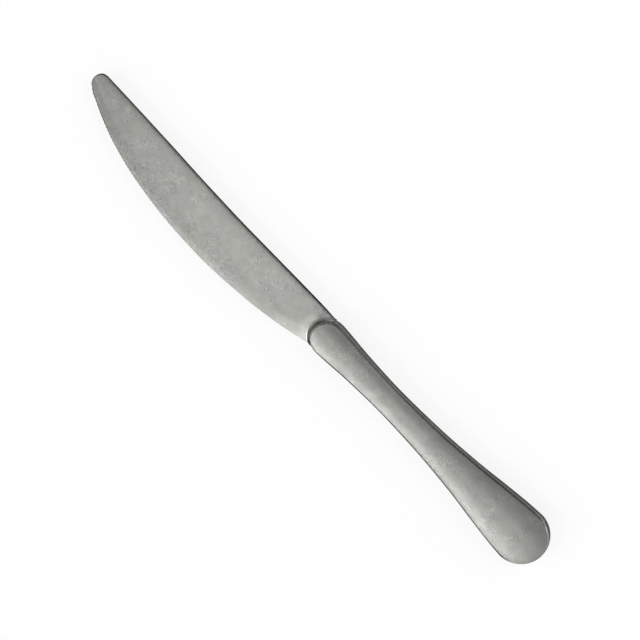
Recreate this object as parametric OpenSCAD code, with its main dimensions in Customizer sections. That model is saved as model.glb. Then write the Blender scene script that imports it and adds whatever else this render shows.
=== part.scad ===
// Table knife, lying on its side.
// X runs from the tip to the butt, Y from the cutting edge to the spine, Z is up.
// The origin is under the middle of the knife, on the surface that it lies on.

/* [Blade] */
// Length of the blade, from the mouth of the handle to the tip
blade_len = 118.8; // [100:0.1:140]
// Height of the spine above the long axis, just before the heel
heel_spine_h = 7.05; // [6.4:0.05:7.4]
// Height of the spine above the long axis, at the tip
tip_spine_h = 9.35; // [7.8:0.05:11]
// Depth of the cutting edge below the long axis, where the blade is deepest
belly_depth = 13.6; // [11:0.1:14.5]
// Radius of the rounded tip
tip_r = 3.6; // [2.8:0.1:4.4]
// Angle between the cutting edge and the long axis, where the edge meets the rounded tip
tip_edge_angle = 38; // [28:1:45]
// Thickness of the spine at the heel
heel_t = 2.2; // [1.6:0.05:2.8]
// Thickness of the spine at the tip
tip_t = 1.3; // [1:0.05:1.6]
// Thickness of the blade where the edge bevel starts
bevel_t = 0.9; // [0.6:0.05:1.2]
// Width of the edge bevel
bevel_w = 1.8; // [1:0.1:2.6]
// Thickness left at the cutting edge
edge_t = 0.3; // [0.15:0.05:0.5]
// Width over which the flank runs out to the edge at the heel
heel_bevel_w = 4.5; // [2:0.1:5.5]
// Thickness left at the edge, at the heel
heel_edge_t = 1.2; // [0.8:0.1:1.6]
// Radius of the corners of the spine
spine_r = 0.2; // [0.15:0.05:0.45]

/* [Serration] */
// Distance from one tooth of the cutting edge to the next
tooth_pitch = 1.3; // [1:0.05:2]
// Depth of the gullets between the teeth
tooth_depth = 0.2; // [0.1:0.05:0.5]
// Length of the toothed stretch, from the tip back
serration_len = 74; // [40:1:85]

/* [Heel and tang] */
// Radius of the curved mouth, where the blade meets the handle
mouth_r = 7.2; // [7.1:0.1:8.6]
// Height of the spine above the long axis, at the mouth
mouth_spine_h = 6.6; // [6:0.05:6.9]
// Depth of the heel below the long axis, at the mouth
mouth_edge_depth = 6.5; // [6:0.05:6.9]
// Length of the fillet that rises from the blade to the mouth
fillet_len = 1.6; // [1:0.1:2.4]
// Thickness of the forging at the top of that fillet
collar_t = 3.9; // [3.2:0.1:4.2]
// Thickness of the seat behind the mouth, which the shells close on
seat_t = 2; // [1.6:0.1:2.6]
// Length of that seat
seat_len = 5; // [4:0.1:5.4]
// Distance from the mouth to the end of the tang
tang_len = 52; // [35:1:70]
// Width of the tang behind the seat
tang_w = 5.6; // [4:0.1:6.2]
// Width of the tang at its end
tang_end_w = 3.8; // [3:0.1:5]
// Thickness of the tang
tang_t = 1.6; // [1.2:0.1:1.8]
// Depth of the notches that lock the tang in the filling
notch_depth = 0.9; // [0.4:0.1:1.1]
// Length of each notch
notch_len = 4; // [2:0.5:6]

/* [Handle] */
// Length of the handle, from the mouth to the butt
handle_len = 116.3; // [100:0.1:130]
// Width of the handle behind the mouth
front_w = 14; // [13.2:0.1:14.1]
// Width of the handle at its narrowest
neck_w = 10.8; // [9.6:0.1:12]
// Width of the handle at its widest, near the butt
butt_w = 21.7; // [18:0.1:24]
// Length of the rounded end of the butt
butt_round = 10.5; // [8:0.1:14]
// Thickness of the handle at the mouth and at the butt
handle_t = 6.5; // [6:0.1:7.5]
// Thickness of the handle at its thinnest
neck_t = 4.9; // [4.5:0.1:5.5]
// How far the front wall leans in between the mouth and the face
mouth_lean = 1.15; // [0.6:0.05:1.3]
// How far the side walls lean in between the seam and the face, at the front
front_lean = 0.8; // [0.4:0.05:1]
// How far the side walls lean in, along the rest of the handle
side_lean = 0.48; // [0.2:0.02:0.7]
// How far the end wall leans in, round the butt
butt_lean = 0.85; // [0.4:0.05:1]
// Thickness of the sheet that the two shells are pressed from
shell_t = 0.8; // [0.6:0.05:0.9]
// Thickness of the brazed seam between the shells
braze_t = 0.2; // [0.1:0.05:0.4]

/* [Fits] */
// Gap at the mouth, between the forging and the front wall of the shells
mouth_gap = 0.1; // [0.05:0.05:0.3]
// Gap round the filling and round the tang
fit_gap = 0.05; // [0.02:0.01:0.1]

/* [Hidden] */

// Outline of the blade.
// Each row is a place, as a share of the blade's length from the mouth to the tip, and a height.
// Spine: share of the rise from the height at the heel to the height at the tip
spine_rise_shares = [
    [0.03, -0.025], [0.15, 0.01], [0.33, 0.01], [0.515, 0.2], [0.695, 0.575], [0.885, 0.89]
];
// Cutting edge: share of the depth at the belly
edge_depth_shares = [
    [0.09, 0.732], [0.21, 0.896], [0.39, 1], [0.47, 0.992], [0.55, 0.948], [0.7, 0.758],
    [0.82, 0.489], [0.9, 0.22], [0.953, -0.002], [0.97, -0.073]
];

// Width of the handle.
// Each row is a place, as a share of the length up to the rounded end, and a share of the
// change in width from the neck to the front, or from the neck to the butt
front_width_shares = [[0, 1], [0.06, 1], [0.103, 0.83], [0.205, 0.32], [0.36, 0]];
butt_width_shares = [[0.36, 0], [0.53, 0.095], [0.717, 0.382], [0.853, 0.715], [0.955, 0.939], [1, 1]];

// Thickness of the handle: a share of its length, and a share of the change in thickness
thickness_shares = [
    [0, 1], [0.11, 1], [0.217, 0.36], [0.33, 0.04], [0.45, 0],
    [0.58, 0.06], [0.65, 0.25], [0.77, 0.8], [0.83, 1], [1, 1]
];

// Height of the crown of the faces, as a share of the handle's half width
crown_share = 0.125;
// Middle of each face that is flat, as a share of its width
flat_share = 0.25;
// Plain, upright foot of the side walls, as a share of their height
foot_share = 0.5;

// Lengths over which the shape changes, as shares of the size that they follow
heel_fade_share = 0.22;
bend_fade_share = 0.12;
corner_share = 0.45;
lean_fade_share = 1.25;
lean_butt_share = 0.9;
// Teeth at the end of the serration that fade out
fading_teeth = 8;
// Fullness of the flanks, as a share of their taper
flank_fullness_share = 0.1;
// Exponents of the rounded tip, of the curved fillet, of the leaning walls and of the rounded
// corner at the mouth
tip_power = 2.25;
fillet_power = 2.5;
lean_power = 1.6;
corner_power = 32;
// Exponents that crowd the steps towards the mouth, along the fillet and along the sides
fillet_crowd = 1.5;
side_crowd = 1.25;
// Corners of the flat bar of the tang, as shares of its width and of its thickness
bar_corner_share = 0.125;
// Largest spine corner and edge bevel near the tip, as shares of the blade's height there
tip_corner_share = 0.2;
tip_bevel_share = 0.33;
// Angle from the middle of the mouth to the edge of the seat, and of the step behind it
seat_angle = 49;
seat_step_angle = 0.5;
// Places of the notches along the tang, as shares of its length
notch_place_shares = [0.42, 0.7];

// Numbers of steps along and across the shapes
tip_steps = 8;
body_steps = 9;
bend_steps = 8;
fillet_steps = 7;
seat_steps = 4;
side_steps = 24;
butt_steps = 10;
wall_steps = 4;
face_steps = 10;
lining_steps = 4;
mouth_angles = [0, 8, 16, 24, 32, 38, 44, seat_angle, seat_angle + seat_step_angle, 54, 60];

// Derived places
tip_c = blade_len - tip_r;
tip_c_h = tip_spine_h - tip_r;
tip_edge_at = tip_place(tip_edge_angle);
tip_edge_h = tip_c_h - tip_half_h(tip_edge_at);
teeth = floor(serration_len / tooth_pitch);
teeth_end = tip_edge_at - teeth * tooth_pitch;
bend_len = bend_fade_share * blade_len;
round_at = handle_len - butt_round;
mouth_c = mouth_gap + mouth_r;
side_start = mouth_c - corner_share * mouth_r + shell_t + mouth_lean - mouth_gap;
frame_x = (blade_len - handle_len) / 2;
frame_y = (belly_depth - butt_w / 2) / 2;
frame_z = handle_t / 2;

// Value between a and b
function mix(a, b, t) = a + (b - a) * t;

// Value kept between 0 and 1
function unit(t) = min(max(t, 0), 1);

// Smooth change from 1 to 0 as t goes from 0 to 1
function fade(t) = 1 - unit(t) * unit(t) * (3 - 2 * unit(t));

// Smooth curve through a table of points, without overshoot, held level past its ends
function span(table, x, i = 0) =
    i >= len(table) - 2 || x < table[i + 1][0] ? i : span(table, x, i + 1);
function rise(table, i) = (table[i + 1][1] - table[i][1]) / (table[i + 1][0] - table[i][0]);
function tangent(table, i) =
    i == 0 ? rise(table, 0)
    : i == len(table) - 1 ? rise(table, i - 1)
    : rise(table, i - 1) * rise(table, i) <= 0 ? 0
    : 2 * rise(table, i - 1) * rise(table, i) / (rise(table, i - 1) + rise(table, i));
function curve(table, x) =
    let (
        i = span(table, x),
        step = table[i + 1][0] - table[i][0],
        t = unit((x - table[i][0]) / step)
    )
    mix(table[i][1], table[i + 1][1], t * t * (3 - 2 * t))
    + step * tangent(table, i) * t * (1 - t) * (1 - t)
    - step * tangent(table, i + 1) * t * t * (1 - t);

// Smaller of a and b, with a soft change from one to the other
function soft_min(a, b) = a * pow(1 + pow(a / b, corner_power), -1 / corner_power);

// Closed skin over rings of points, as a list of triangles.
// The first and last ring are capped, or end at a pole where a map joins points that meet.
function triangle(a, b, c) = a == b || b == c || a == c ? [] : [[a, b, c]];
function corner(rings, first, last, i, j) =
    let (n = len(rings[0]), k = j % n)
    i == 0 ? first[k] : i * n + (i == len(rings) - 1 ? last[k] : k);
function band(rings, first, last) = [
    for (i = [0 : len(rings) - 2])
        for (j = [0 : len(rings[0]) - 1])
            let (
                a = corner(rings, first, last, i, j),
                b = corner(rings, first, last, i, j + 1),
                c = corner(rings, first, last, i + 1, j + 1),
                d = corner(rings, first, last, i + 1, j)
            )
            each concat(triangle(a, c, b), triangle(a, d, c))
];
function plain_map(n) = [for (j = [0 : n - 1]) j];

// Blunt edge that closes a ring onto the middle plane, a depth further on, and the map that
// joins its two sides
function closing_ring(ring, depth) = [for (p = ring) [p[0] + depth, p[1], 0]];
function closing_map(n) = [for (j = [0 : n - 1]) min(j, n - 1 - j)];

module loft(rings, first = [], last = []) {
    n = len(rings[0]);
    first_map = len(first) > 0 ? first : plain_map(n);
    last_map = len(last) > 0 ? last : plain_map(n);
    first_cap = len(first) > 0 ? [] : [plain_map(n)];
    last_start = (len(rings) - 1) * n;
    last_cap = len(last) > 0 ? [] : [[for (j = [n - 1 : -1 : 0]) last_start + j]];
    polyhedron(
        points = [for (ring = rings) each ring],
        faces = concat(first_cap, band(rings, first_map, last_map), last_cap),
        convexity = 10
    );
}

// Width, thickness and lean of the walls along the handle
width_table = concat(
    [for (p = front_width_shares) [p[0] * round_at, mix(neck_w, front_w, p[1]) / 2]],
    [
        for (i = [1 : len(butt_width_shares) - 1])
            let (p = butt_width_shares[i])
            [p[0] * round_at, mix(neck_w, butt_w, p[1]) / 2]
    ]
);
thickness_table = [
    for (p = thickness_shares) [p[0] * handle_len, mix(neck_t, handle_t, p[1]) / 2]
];
neck_place = front_width_shares[len(front_width_shares) - 1][0] * round_at;
lean_table = [
    [0, mouth_lean],
    [corner_share * mouth_r, mouth_lean],
    [lean_fade_share * mouth_r, front_lean],
    [neck_place, side_lean],
    [lean_butt_share * round_at, side_lean],
    [handle_len, butt_lean]
];

// Puts the knife on its resting place
module in_frame() {
    translate([frame_x, frame_y, frame_z]) children();
}

// Blade
spine_table = [
    [-bend(mouth_spine_h), mouth_spine_h],
    for (p = spine_rise_shares) [p[0] * blade_len, mix(heel_spine_h, tip_spine_h, p[1])],
    [tip_c, tip_spine_h]
];
edge_table = [
    [-bend(mouth_edge_depth), -mouth_edge_depth],
    for (p = edge_depth_shares) [p[0] * blade_len, -p[1] * belly_depth],
    [tip_edge_at, tip_edge_h]
];

// Rounded tip: distance from the mouth at an angle, and half height at a distance from the mouth
function tip_place(angle) = tip_c + tip_r * pow(sin(angle), 2 / tip_power);
function tip_half_h(at) =
    tip_r * pow(max(1 - pow((at - tip_c) / tip_r, tip_power), 0), 1 / tip_power);
function spine_h(at) = at > tip_c ? tip_c_h + tip_half_h(at) : curve(spine_table, at);
function edge_h(at) = at > tip_edge_at ? tip_c_h - tip_half_h(at) : curve(edge_table, at);

// Depth of the curved mouth at a height from the axis
function bend(y) = mouth_r - sqrt(mouth_r * mouth_r - y * y);

// Half of a section from the edge to the spine, as heights and half thicknesses
function half_section(edge, spine, edge_z, bevel_z, spine_z, bevel, r) =
    let (bend_share = 1 - cos(45))
    [
        [edge, edge_z],
        [edge + bevel, bevel_z],
        for (q = [0.25, 0.5, 0.75])
            [
                mix(edge + bevel, spine - r, q),
                mix(bevel_z, spine_z, q + flank_fullness_share * 4 * q * (1 - q))
            ],
        [spine - r, spine_z],
        [spine - r * bend_share, spine_z - r * bend_share],
        [spine, spine_z - r]
    ];

// Whole ring of a section at a distance from the mouth, each point with its own set-back
function section_ring(half, at, bends, bent) = [
    for (j = [0 : len(half) - 1]) [bent * bends[j] - at, half[j][0], half[j][1]],
    for (j = [len(half) - 1 : -1 : 0]) [bent * bends[j] - at, half[j][0], -half[j][1]]
];

// Set-back of each point of the section along the curved mouth, from the edge to the spine
mouth_bends = [
    for (p = half_section(-mouth_edge_depth, mouth_spine_h, 0, 0, 0, heel_bevel_w, spine_r))
        bend(p[0])
];

// Ring of the blade at a distance from the mouth, with its edge lifted by a gullet
function blade_ring(at, lift = 0) =
    let (
        bent = fade(at / bend_len),
        edge = edge_h(at - bent * mouth_bends[0]) + lift,
        spine = spine_h(at - bent * mouth_bends[len(mouth_bends) - 1]),
        spine_z = mix(heel_t, tip_t, unit(at / blade_len)) / 2,
        heel = fade(at / blade_len / heel_fade_share),
        bevel = mix(bevel_w, heel_bevel_w, heel),
        bevel_z = mix(bevel_t / 2, spine_z, heel),
        edge_z = mix(edge_t / 2, heel_edge_t / 2, heel),
        height = spine - edge,
        raised = pow(1 - unit(at / fillet_len), fillet_power),
        r = min(spine_r, tip_corner_share * height)
    )
    section_ring(
        half_section(
            edge, spine,
            mix(edge_z, collar_t / 2, raised),
            mix(bevel_z, collar_t / 2, raised),
            mix(spine_z, collar_t / 2, raised),
            min(bevel, tip_bevel_share * height), r
        ),
        at, mouth_bends, bent
    );

// Ring of the flat bar behind the mouth, with its own lower and upper side
function bar_ring(low, high, thickness, at, bent) =
    let (
        z = thickness / 2,
        bevel = bar_corner_share * (high - low),
        half = half_section(low, high, z, z, z, bevel, bar_corner_share * thickness)
    )
    section_ring(half, at, [for (p = half) bend(p[0])], bent);

// Half width of the seat, which fits between the side walls of the shells
seat_half_w = rim([0, seat_angle], shell_t)[1] - fit_gap;

// Stations of the tang: distance from the mouth, and how deep the upper and lower side are cut
function tang_half_w(at) =
    mix(tang_w, tang_end_w, unit((at - seat_len) / (tang_len - seat_len))) / 2;
tang_stations = [
    [seat_len, 0, 0],
    for (side = [0, 1])
        let (middle = notch_place_shares[side] * tang_len)
        each [
            [middle - notch_len / 2, 0, 0],
            [middle - notch_len / 4, (1 - side) * notch_depth, side * notch_depth],
            [middle + notch_len / 4, (1 - side) * notch_depth, side * notch_depth],
            [middle + notch_len / 2, 0, 0]
        ],
    [tang_len, 0, 0]
];

tip_rings = [
    for (i = [0 : tip_steps - 1])
        blade_ring(tip_place(mix(90, tip_edge_angle, i / tip_steps)))
];
toothed_rings = [
    for (i = [0 : teeth - 1])
        let (
            at = tip_edge_at - i * tooth_pitch,
            lift = tooth_depth * unit((teeth - i) / fading_teeth)
        )
        each [blade_ring(at), blade_ring(at - tooth_pitch / 2, lift)]
];
body_rings = [
    for (i = [0 : body_steps - 1]) blade_ring(mix(teeth_end, bend_len, i / body_steps))
];
bend_rings = [
    for (i = [0 : bend_steps - 1]) blade_ring(mix(bend_len, fillet_len, i / bend_steps))
];
fillet_rings = [
    for (i = [0 : fillet_steps]) blade_ring(fillet_len * pow(1 - i / fillet_steps, fillet_crowd))
];
seat_rings = [
    for (i = [0 : seat_steps])
        let (t = i / seat_steps)
        bar_ring(-seat_half_w, seat_half_w, seat_t, -seat_len * t, 1 - t)
];
tang_rings = [
    for (s = tang_stations)
        bar_ring(s[2] - tang_half_w(s[0]), tang_half_w(s[0]) - s[1], tang_t, -s[0], 0)
];

module blade() {
    rings = concat(
        tip_rings, toothed_rings, body_rings, bend_rings, fillet_rings, seat_rings, tang_rings,
        [closing_ring(tang_rings[len(tang_rings) - 1], tang_t / 2)]
    );
    half = len(rings[0]) / 2;
    // At the tip the upper points meet in one, and so do the lower points
    tip_map = [for (j = [0 : 2 * half - 1]) j < half ? half / 2 : half + half / 2 - 1];
    color("silver") in_frame() loft(turned(rings), first = closing_map(2 * half), last = tip_map);
}

// Handle
function side_w(x) = curve(width_table, x);
function crown_h(x) = crown_share * side_w(x);
function face_edge_z(x) = curve(thickness_table, x) - crown_h(x);

// Stations along the handle: 0 is an angle round the mouth, 1 a distance from the mouth along
// the sides, and 2 an angle round the butt
stations = [
    for (a = mouth_angles) [0, a],
    for (i = [0 : side_steps]) [1, mix(side_start, round_at, pow(i / side_steps, side_crowd))],
    for (i = [1 : butt_steps]) [2, 90 * i / butt_steps]
];

// Point of the handle's outline at a station, at a distance inside the outline: place and
// half width
function rim(s, inset) =
    let (arc_r = mouth_r - inset)
    s[0] == 0 ?
        let (x = mouth_c - arc_r * cos(s[1]))
        [x, soft_min(arc_r * sin(s[1]), side_w(x) - inset)]
    : s[0] == 2 ?
        [round_at + (butt_round - inset) * sin(s[1]), (butt_w / 2 - inset) * cos(s[1])]
    : s[1] < mouth_c ?
        let (arc = sqrt(arc_r * arc_r - (mouth_c - s[1]) * (mouth_c - s[1])))
        [s[1], soft_min(arc, side_w(s[1]) - inset)]
    : [s[1], side_w(s[1]) - inset];

// Place of a station on the outline, and how far its wall leans in
function place(s) = rim(s, 0)[0];
function lean(s) = curve(lean_table, place(s));

// Share of the slope between the flat middle of the face and its edge
function slack(q) = max(q - flat_share, 0) / (1 - flat_share);

// Height of the crowned face at a station, at a height y from the long axis.
// The mouth cuts the crown off, and round the butt the crown falls to nothing.
function face_z(s, inset, y) =
    let (
        edge = rim(s, inset),
        full = side_w(edge[0]) - inset,
        at_butt = s[0] == 2,
        share = at_butt ? unit(edge[1] / full) : 1,
        reach = !at_butt ? abs(y) / full : edge[1] > 0 ? abs(y) / edge[1] : 0
    )
    face_edge_z(place(s)) + crown_h(edge[0]) * share * share * (1 - pow(slack(reach), 2));

// Height of the edge of the face, or of a lining that lies deeper by a thickness
function top_z(s, depth = 0) =
    let (inset = lean(s) + depth)
    face_z(s, inset, rim(s, inset)[1]) - depth;

// Height at which the upright foot of the wall ends and the wall starts to lean in
function foot_z(s) =
    mix(
        foot_share * face_edge_z(place(s)), collar_t / 2,
        fade((place(s) / mouth_r - corner_share / 2) / corner_share)
    );

// Height of the lower rim of a shell: on the seat at the mouth, on the seam behind it
function rim_z(s) = s[0] == 0 && s[1] <= seat_angle ? seat_t / 2 : braze_t / 2;

// Wall of a shell at a station, from its rim to the edge of the face: inset and height
function outer_wall(s) = [
    [0, rim_z(s)],
    for (k = [0 : wall_steps])
        let (t = k / wall_steps)
        [lean(s) * pow(t, lean_power), mix(foot_z(s), top_z(s), t)]
];

// The same for a lining that lies deeper by a thickness
function inner_wall(s, depth) =
    [
        for (k = [0 : lining_steps - 1])
            let (t = k / (lining_steps - 1))
            [depth + lean(s) * t * t, mix(rim_z(s), top_z(s, depth), 1 - (1 - t) * (1 - t))]
    ];

// Arch over a station: up one wall, over the face and down the other wall
function arch(s, wall, steps) =
    let (
        inset = wall[len(wall) - 1][0],
        edge = rim(s, inset),
        depth = inset - lean(s)
    )
    [
        for (p = wall) [rim(s, p[0])[0], rim(s, p[0])[1], p[1]],
        for (i = [1 : steps - 1])
            let (y = (1 - 2 * i / steps) * edge[1])
            [edge[0], y, face_z(s, inset, y) - depth],
        for (k = [len(wall) - 1 : -1 : 0])
            [rim(s, wall[k][0])[0], -rim(s, wall[k][0])[1], wall[k][1]]
    ];

// Map that joins the two sides of an arch at a pole
function arch_map(walls, steps, start = 0) =
    let (n = 2 * walls + steps - 1)
    [
        for (j = [0 : n - 1])
            start + (j < walls ? j : j > n - 1 - walls ? n - 1 - j : walls - 1)
    ];

function turned(ring) = [for (i = [len(ring) - 1 : -1 : 0]) ring[i]];
function mirrored(ring) = [for (p = ring) [p[0], p[1], -p[2]]];

outer_walls = wall_steps + 2;
outer_count = 2 * outer_walls + face_steps - 1;
inner_count = 3 * lining_steps - 1;

// Closed ring round a shell at a station, and the map that joins its sides at the poles
function shell_ring(s) =
    concat(
        arch(s, outer_wall(s), face_steps),
        turned(arch(s, inner_wall(s, shell_t), lining_steps))
    );
function shell_map() =
    concat(
        arch_map(outer_walls, face_steps),
        turned(arch_map(lining_steps, lining_steps, outer_count))
    );

module handle_shell_top() {
    rings = [for (s = stations) shell_ring(s)];
    color("darkgray") in_frame() loft(rings, first = shell_map(), last = shell_map());
}

module handle_shell_bottom() {
    rings = [for (s = stations) turned(mirrored(shell_ring(s)))];
    last_point = outer_count + inner_count - 1;
    map = turned([for (j = shell_map()) last_point - j]);
    color("gray") in_frame() loft(rings, first = map, last = map);
}

// Filling: the inside of the two shells, with a pocket for the tang
function filling_ring(s) =
    let (upper = arch(s, inner_wall(s, shell_t + fit_gap), lining_steps))
    concat(upper, turned(mirrored(upper)));

// Ring of the pocket, with as many points as the outside of the filling
function pocket_ring(at, cut) =
    let (
        low = cut[2] - tang_half_w(cut[0]) - fit_gap,
        high = tang_half_w(cut[0]) - cut[1] + fit_gap,
        z = tang_t / 2 + fit_gap,
        upper = [
            for (j = [0 : inner_count - 1]) [at, mix(high, low, j / (inner_count - 1)), z]
        ]
    )
    concat(upper, turned(mirrored(upper)));

module handle_filling() {
    behind_seat = [for (i = [len(stations) - 1 : -1 : len(mouth_angles)]) stations[i]];
    outside = [for (s = behind_seat) filling_ring(s)];
    pocket = [
        for (i = [0 : len(tang_stations) - 1])
            let (s = tang_stations[i])
            pocket_ring(
                i == 0 ? side_start : i == len(tang_stations) - 1 ? s[0] + fit_gap : s[0], s
            )
    ];
    rings = concat(outside, pocket, [closing_ring(pocket[len(pocket) - 1], tang_t / 2)]);
    upper_map = arch_map(lining_steps, lining_steps);
    lower_map = turned([for (j = upper_map) 2 * inner_count - 1 - j]);
    color("tan") in_frame()
        loft(
            turned(rings),
            first = closing_map(2 * inner_count),
            last = concat(upper_map, lower_map)
        );
}

// Seam: a strip of filler metal between the rims of the two shells, round the butt
function seam_ring(s, side) =
    let (outer = rim(s, 0), inner = rim(s, shell_t))
    [
        [outer[0], side * outer[1], braze_t / 2],
        [inner[0], side * inner[1], braze_t / 2],
        [inner[0], side * inner[1], -braze_t / 2],
        [outer[0], side * outer[1], -braze_t / 2]
    ];

module seam_braze() {
    first_station = len(mouth_angles) - 3;
    run = [for (i = [first_station : len(stations) - 1]) stations[i]];
    rings = concat(
        [for (s = run) seam_ring(s, 1)],
        [for (i = [len(run) - 2 : -1 : 0]) seam_ring(run[i], -1)]
    );
    color("goldenrod") in_frame() loft(rings);
}

blade();
handle_shell_top();
handle_shell_bottom();
handle_filling();
seam_braze();
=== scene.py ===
"""Table knife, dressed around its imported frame.

X runs from the tip to the butt, Y from the cutting edge to the spine, Z is up. The long axis of
the knife is called the axis here. Sizes of the knife are in millimetres, and the meshes are made
in metres. Places are distances from the mouth, along the blade or along the handle.
"""
import math

import bmesh
import bpy
from mathutils import Matrix, Vector


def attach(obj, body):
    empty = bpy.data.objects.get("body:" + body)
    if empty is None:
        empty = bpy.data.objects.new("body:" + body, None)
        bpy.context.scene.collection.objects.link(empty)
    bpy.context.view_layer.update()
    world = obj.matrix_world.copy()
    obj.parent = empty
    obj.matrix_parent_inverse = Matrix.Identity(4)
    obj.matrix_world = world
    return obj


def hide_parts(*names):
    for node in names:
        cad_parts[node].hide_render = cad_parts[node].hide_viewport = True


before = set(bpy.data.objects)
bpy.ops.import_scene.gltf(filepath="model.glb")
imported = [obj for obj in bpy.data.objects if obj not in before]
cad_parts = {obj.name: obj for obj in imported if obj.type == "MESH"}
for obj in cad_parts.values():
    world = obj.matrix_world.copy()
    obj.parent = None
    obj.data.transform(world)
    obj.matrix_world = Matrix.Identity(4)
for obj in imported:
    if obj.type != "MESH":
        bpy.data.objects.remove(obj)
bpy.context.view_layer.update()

MM = 0.001
BODY = "root"

# Sizes, as in the part's source
BLADE_LEN = 118.8
HEEL_SPINE_H = 7.05
TIP_SPINE_H = 9.35
BELLY_DEPTH = 13.6
TIP_R = 3.6
TIP_EDGE_ANGLE = 38
HEEL_T = 2.2
TIP_T = 1.3
BEVEL_T = 0.9
HEEL_BEVEL_W = 4.5
TOOTH_PITCH = 1.3
TOOTH_DEPTH = 0.2
SERRATION_LEN = 74
FADING_TEETH = 8
MOUTH_R = 7.2
MOUTH_SPINE_H = 6.6
MOUTH_EDGE_DEPTH = 6.5
FILLET_LEN = 1.6
COLLAR_T = 3.9
SEAT_T = 2.0
SEAT_LEN = 5.0
TANG_LEN = 52.0
TANG_W = 5.6
TANG_END_W = 3.8
TANG_T = 1.6
NOTCH_DEPTH = 0.9
NOTCH_LEN = 4.0
HANDLE_LEN = 116.3
FRONT_W = 14.0
NECK_W = 10.8
BUTT_W = 21.7
BUTT_ROUND = 10.5
HANDLE_T = 6.5
NECK_T = 4.9
MOUTH_LEAN = 1.15
FRONT_LEAN = 0.8
SIDE_LEAN = 0.48
BUTT_LEAN = 0.85
SHELL_T = 0.8
BRAZE_T = 0.2
MOUTH_GAP = 0.1
FIT_GAP = 0.05
# Angles from the middle of the mouth to the edge of the seat, and of the step behind it
SEAT_ANGLE = 49
SEAT_STEP_ANGLE = 0.5
# Places of the notches, as shares of the tang's length
NOTCH_PLACES = (0.42, 0.7)
# Corners of the flat bars of the seat and the tang, as shares of their width and thickness
BAR_CORNER = 0.125

# Outline of the blade, as in the source: places as shares of the blade's length, and shares of
# the spine's rise from heel to tip, or of the belly's depth
SPINE_RISE = [
    (0.03, -0.025), (0.15, 0.01), (0.33, 0.01), (0.515, 0.2), (0.695, 0.575), (0.885, 0.89),
]
EDGE_DEPTH = [
    (0.09, 0.732), (0.21, 0.896), (0.39, 1), (0.47, 0.992), (0.55, 0.948), (0.7, 0.758),
    (0.82, 0.489), (0.9, 0.22), (0.953, -0.002), (0.97, -0.073),
]
# Width and thickness of the handle, as in the source: places as shares of the length, and shares
# of the change from the neck to the front, or from the neck to the butt
FRONT_WIDTH = [(0, 1), (0.06, 1), (0.103, 0.83), (0.205, 0.32), (0.36, 0)]
BUTT_WIDTH = [(0.36, 0), (0.53, 0.095), (0.717, 0.382), (0.853, 0.715), (0.955, 0.939), (1, 1)]
THICKNESS = [
    (0, 1), (0.11, 1), (0.217, 0.36), (0.33, 0.04), (0.45, 0),
    (0.58, 0.06), (0.65, 0.25), (0.77, 0.8), (0.83, 1), (1, 1),
]

# Bevel and spine corner of the blade, which have sizes of their own here
BEVEL_W = 2.6
TIP_BEVEL_W = 1.3
SPINE_R = 0.15
# Largest bevel and spine corner, as shares of the blade's height
MOST_BEVEL = 0.33
MOST_SPINE_R = 0.2
# Half thickness of the cutting edge, by share of the blade's length
EDGE_HALF = [
    (0, 0.6), (0.11, 0.4), (0.22, 0.18), (0.4, 0.15), (0.55, 0.2), (0.7, 0.28), (0.85, 0.33),
    (1, 0.33),
]
# End of the heel's wide bevel, narrowing of the bevel towards the tip, and end of the sections
# that bend along the mouth, as shares of the blade's length
HEEL_FADE = 0.22
BEVEL_NARROWS = (0.45, 0.8)
BEND_FADE = 0.12
# Curve of the flank and of the bevel: 0 is straight
FLANK_S_SHAPE = 0.7
BEVEL_FULLNESS = 0.35
# How far the flanks fall off beside the spine, at the heel and at the tip, and how wide that is
SPINE_ROLL_DEPTH = 0.06
TIP_ROLL_DEPTH = 0.1
SPINE_ROLL_W = 3.0
# How much thicker each flank is at the mouth, and how far that reaches
HEEL_SWELL = 0.25
HEEL_SWELL_LEN = 9.0
# Corner of the cutting edge. The ends of a section narrow to these shares of its half thickness.
EDGE_CORNER = 0.03
EDGE_END = 0.55
SPINE_END = 0.4
# Rounded edge of the collar: radius, its length along the knife as a share of that, and the
# angles of its rings
MOUTH_EDGE_R = 0.12
MOUTH_EDGE_SHARE = 0.5
MOUTH_EDGE_ANGLES = (30, 60, 90)

# Faces of the handle: crown and flat middle as shares of the half width, and how softly the
# flat passes into the slope
CROWN = 0.125
FLAT = 0.1
FLAT_SOFTNESS = 0.08
# Rounded edge of the faces, and the most that this edge and the rim inside it each take up, as
# a share of the half width
FACE_EDGE_R = 0.3
MOST_EDGE = 0.3
# Upright foot of the walls as a share of their height: on the sides, and beyond an angle round
# the butt. The wall above it is at least a little high.
FOOT = 0.5
BUTT_FOOT = 0.2
BUTT_FOOT_ANGLE = 50
LEAST_RISE = 1e-3
# Rounded corner at the mouth, as a share of the mouth's radius
CORNER = 0.45
# Place from which the walls lean in more towards the butt, as a share of the sides' length
LEAN_BUTT = 0.9

# Exponents of the rounded tip, of the fillet, of the leaning walls and of the mouth's corner
TIP_POWER = 2.25
FILLET_POWER = 3.2
LEAN_POWER = 1.6
CORNER_POWER = 32

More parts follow.
